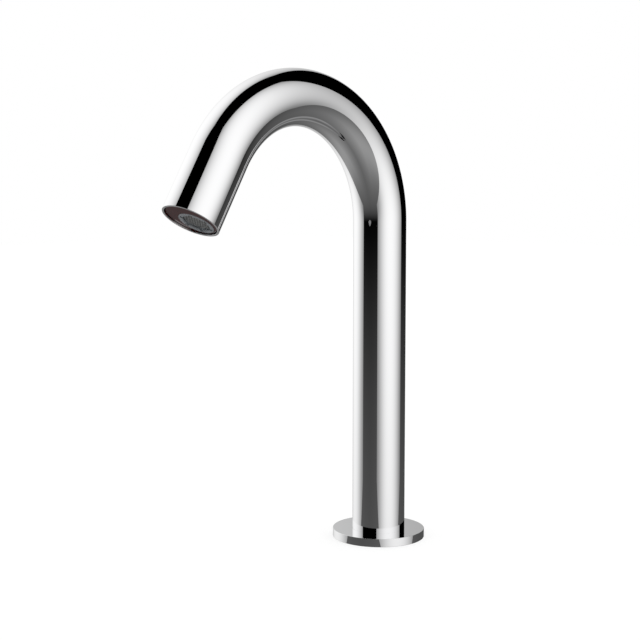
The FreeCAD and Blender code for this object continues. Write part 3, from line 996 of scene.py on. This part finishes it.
@dataclass(frozen=True)
class Studio:
    """A plain white studio, with two softboxes and a dark room that only polished faces mirror.

    The softboxes stand upright to the tap's left and right. The room is black before, behind and
    above the tap, and its grey ground glows with painted light, as of a ground lit from the
    softboxes.

    The softboxes' edges and all values of their glow are in units of their distance from the
    middle of the set. Places on the ground are in units of its depth below the mirroring face.
    """

    middle: tuple[float, float, float] = (0.0, -0.06, 0.14)
    distance: float = 1.205
    softbox_front: float = 1.52
    softbox_back: float = 1.63
    softbox_low: float = 0.505
    softbox_high: float = 3.28
    softbox_strength: float = 1.135

    hot_spot: float = 0.27  # the height at which the softboxes are brightest
    spread_along: float = 1.05  # the reach of the glow to the front and back
    spread_growth: float = 0.32  # what that reach gains with each unit of height
    spread_least: float = 0.96  # the least that it is, low down
    spread_up: float = 2.72  # the reach of the glow above its brightest height
    spread_down: float = 1.29  # and below it
    power_along: float = 2.28  # how abruptly the glow fades to the front and back
    power_upright: float = 2.4  # and up and down

    room_size: float = 100.0
    ground_far: Pair = (0.121, 5.24)  # the wide glow's strength and its reach to front and back
    ground_near: Pair = (0.207, 0.90)  # the same of the painted pool of light at the softboxes' feet
    ground_sides: Pair = (-0.13, 0.64)  # where that glow starts and where it is full, sideways
    ground_power: float = -1.5  # how steeply that glow fades
    horizon: float = 0.001  # the least slope below the horizon that is told apart

    floor_size: float = 8.0
    floor_albedo: float = 0.8
    floor_shaded: float = 0.35  # the part of the floor's white that takes the tap's shadow
    floor_lift: float = 0.69  # the part that doesn't

    def build(self) -> None:
        """Sets up the world, the floor, the softboxes and the dark room."""
        self.world()
        self.floor()
        material = self.glow("softbox", self.softbox_glow)
        for side, name in ((-1, "softbox_left"), (1, "softbox_right")):
            self.softbox(side, name, material)
        self.room()

    def world(self) -> None:
        """Makes the world plain white, for the eye and as soft light on all but polished faces."""
        world = bpy.data.worlds.new("studio")
        world.use_nodes = True
        bpy.context.scene.world = world
        graph = Graph(world.node_tree)
        light = graph.node("ShaderNodeBackground", {"Color": WHITE, "Strength": 1.0})
        graph.node("ShaderNodeOutputWorld", {"Surface": light.outputs[0]})
        world.cycles_visibility.glossy = False

    def glow(self, name: str, strength: Callable[[Graph], Socket]) -> bpy.types.Material:
        """Makes a material that only glows.

        Args:
            name: Its name.
            strength: Builds the strength of its glow in its tree.

        Returns:
            The material.
        """
        material, graph = new_material(name)
        light = graph.node("ShaderNodeEmission", {"Color": WHITE, "Strength": strength(graph)})
        graph.node("ShaderNodeOutputMaterial", {"Surface": light.outputs[0]})
        material.cycles.emission_sampling = "NONE"
        return material

    def set_up(self, name: str, material: bpy.types.Material) -> bpy.types.Object:
        """Makes the primitive that was just added a part of the studio.

        Args:
            name: Its name.
            material: Its material.

        Returns:
            The object, with its place in its mesh.
        """
        item = bpy.context.object
        item.name = name
        bpy.ops.object.transform_apply(location=True, rotation=True, scale=True)
        item.data.materials.append(material)
        return item

    def mirror_only(self, item: bpy.types.Object) -> None:
        """Hides a part of the studio from all but polished faces.

        Args:
            item: That part.
        """
        item.visible_camera = False
        item.visible_diffuse = False
        item.visible_transmission = False
        item.visible_volume_scatter = False
        item.visible_shadow = False

    def softbox(self, side: int, name: str, material: bpy.types.Material) -> None:
        """Adds a softbox.

        Args:
            side: -1 for the tap's left and 1 for its right.
            name: The softbox's name.
            material: Its glow.
        """
        leave_edit_mode()
        bpy.ops.mesh.primitive_plane_add(size=1.0)
        panel = bpy.context.object
        panel.scale = (
            (self.softbox_low + self.softbox_high) * self.distance,
            (self.softbox_front + self.softbox_back) * self.distance,
            1.0,
        )
        panel.rotation_euler = (0.0, math.pi / 2, 0.0)
        behind = (self.softbox_back - self.softbox_front) / 2
        above = (self.softbox_high - self.softbox_low) / 2
        panel.location = Vector(self.middle) + self.distance * Vector((side, behind, above))
        self.mirror_only(self.set_up(name, material))

    def softbox_glow(self, graph: Graph) -> Socket:
        """Builds a softbox's glow: brightest beside the tap, weaker towards the softbox's rim.

        Args:
            graph: The builder of the material's tree.

        Returns:
            The strength of the glow.
        """
        place = graph.place(shift=self.middle, scale=(self.distance,) * 3)
        axes = graph.node("ShaderNodeSeparateXYZ", {0: place})
        height = axes.outputs["Z"]
        spread = graph.math("MULTIPLY_ADD", height, self.spread_growth, self.spread_along)
        spread = graph.math("MAXIMUM", spread, self.spread_least)
        along = graph.math("DIVIDE", graph.math("ABSOLUTE", axes.outputs["Y"]), spread)
        above = graph.math("SUBTRACT", height, self.hot_spot)
        up = graph.math("DIVIDE", graph.math("MAXIMUM", above, 0.0), self.spread_up)
        down = graph.math("DIVIDE", graph.math("MINIMUM", above, 0.0), -self.spread_down)
        fade_along = graph.math("ADD", graph.math("POWER", along, self.power_along), 1.0)
        upright = graph.math("POWER", graph.math("ADD", up, down), self.power_upright)
        fade = graph.math("MULTIPLY", fade_along, graph.math("ADD", upright, 1.0))
        return graph.math("DIVIDE", self.softbox_strength, fade)

    def room(self) -> None:
        """Adds the dark room round the set."""
        leave_edit_mode()
        bpy.ops.mesh.primitive_cube_add(size=self.room_size)
        self.mirror_only(self.set_up("dark_room", self.glow("dark_room", self.room_glow)))

    def room_glow(self, graph: Graph) -> Socket:
        """Builds the room's glow: none above the horizon, and below it the painted light of a lit
        ground.

        Args:
            graph: The builder of the material's tree.

        Returns:
            The strength of the glow.
        """
        axes = graph.node("ShaderNodeSeparateXYZ", {0: graph.place()})
        depth = graph.math("MULTIPLY", axes.outputs["Z"], -1.0)
        depth = graph.math("MAXIMUM", depth, self.horizon)
        along = graph.math("ABSOLUTE", graph.math("DIVIDE", axes.outputs["Y"], depth))
        across = graph.math("ABSOLUTE", graph.math("DIVIDE", axes.outputs["X"], depth))
        level, reach = self.ground_far
        far = graph.math("DIVIDE", level, self.ground_fade(graph, along, reach))
        level, reach = self.ground_near
        near = graph.math("POWER", self.ground_fade(graph, along, reach), self.ground_power)
        sides = graph.span(across, 0.0, level, within=self.ground_sides)
        total = graph.math("MULTIPLY_ADD", near, sides, far)
        return graph.math("MULTIPLY", total, graph.math("LESS_THAN", axes.outputs["Z"], 0.0))

    def ground_fade(self, graph: Graph, along: Socket, reach: float) -> Socket:
        """Returns 1 at the tap, 2 at a glow's reach and more with the square of the way beyond."""
        square = graph.math("POWER", graph.math("DIVIDE", along, reach), 2.0)
        return graph.math("ADD", square, 1.0)

    def backdrop_share(self, graph: Graph) -> Socket:
        """Tells the rays that see the backdrop: from the camera, off gloss and through glass.

        Args:
            graph: The builder of the material's tree.

        Returns:
            1 for those rays and 0 for all others.
        """
        rays = graph.node("ShaderNodeLightPath").outputs
        share = graph.math("MAXIMUM", rays["Is Camera Ray"], rays["Is Glossy Ray"])
        return graph.math("MAXIMUM", share, rays["Is Transmission Ray"])

    def floor(self) -> None:
        """Adds the pale floor, white to the eye, with the tap's soft shadow on it."""
        material, graph = new_material("pale_floor")
        pale = graph.node("ShaderNodeBsdfDiffuse", {"Color": (self.floor_albedo,) * 3})
        shaded = graph.node("ShaderNodeBsdfDiffuse", {"Color": (self.floor_shaded,) * 3})
        lift = graph.node("ShaderNodeEmission", {"Color": WHITE, "Strength": self.floor_lift})
        seen = graph.node("ShaderNodeAddShader", {0: shaded.outputs[0], 1: lift.outputs[0]})
        share = self.backdrop_share(graph)
        both = {0: share, 1: pale.outputs[0], 2: seen.outputs[0]}
        mixed = graph.node("ShaderNodeMixShader", both)
        graph.node("ShaderNodeOutputMaterial", {"Surface": mixed.outputs[0]})
        material.cycles.emission_sampling = "NONE"
        leave_edit_mode()
        bpy.ops.mesh.primitive_plane_add(size=self.floor_size)
        self.set_up("floor", material).visible_glossy = False


@dataclass(frozen=True)
class Viewpoint:
    """The camera, at the picture's own angle. The lens and the sensor are in millimetres."""

    place: tuple[float, float, float] = (0.49924, -0.58343, 0.20917)
    turn: tuple[float, float, float] = (math.radians(84.35), 0.0, math.radians(43.24))
    lens: float = 71.42
    sensor: float = 36.0
    sight: float = 200.0

    def build(self) -> None:
        """Adds the camera and makes it the scene's own."""
        camera = bpy.data.cameras.new("camera")
        camera.lens = self.lens
        camera.sensor_width = self.sensor
        camera.clip_end = self.sight
        viewer = bpy.data.objects.new("camera", camera)
        viewer.location = self.place
        viewer.rotation_euler = self.turn
        bpy.context.scene.collection.objects.link(viewer)
        bpy.context.scene.camera = viewer


def main() -> None:
    """Builds the studio and the tap, sub-assembly by sub-assembly."""
    logging.basicConfig(level=logging.INFO, format="%(name)s: %(message)s")
    bpy.context.scene.view_settings.view_transform = "Standard"
    Viewpoint().build()
    Studio().build()
    dress_nodes()
    Spout().build()
    OutletFace().build()


if __name__ == "__main__":
    main()
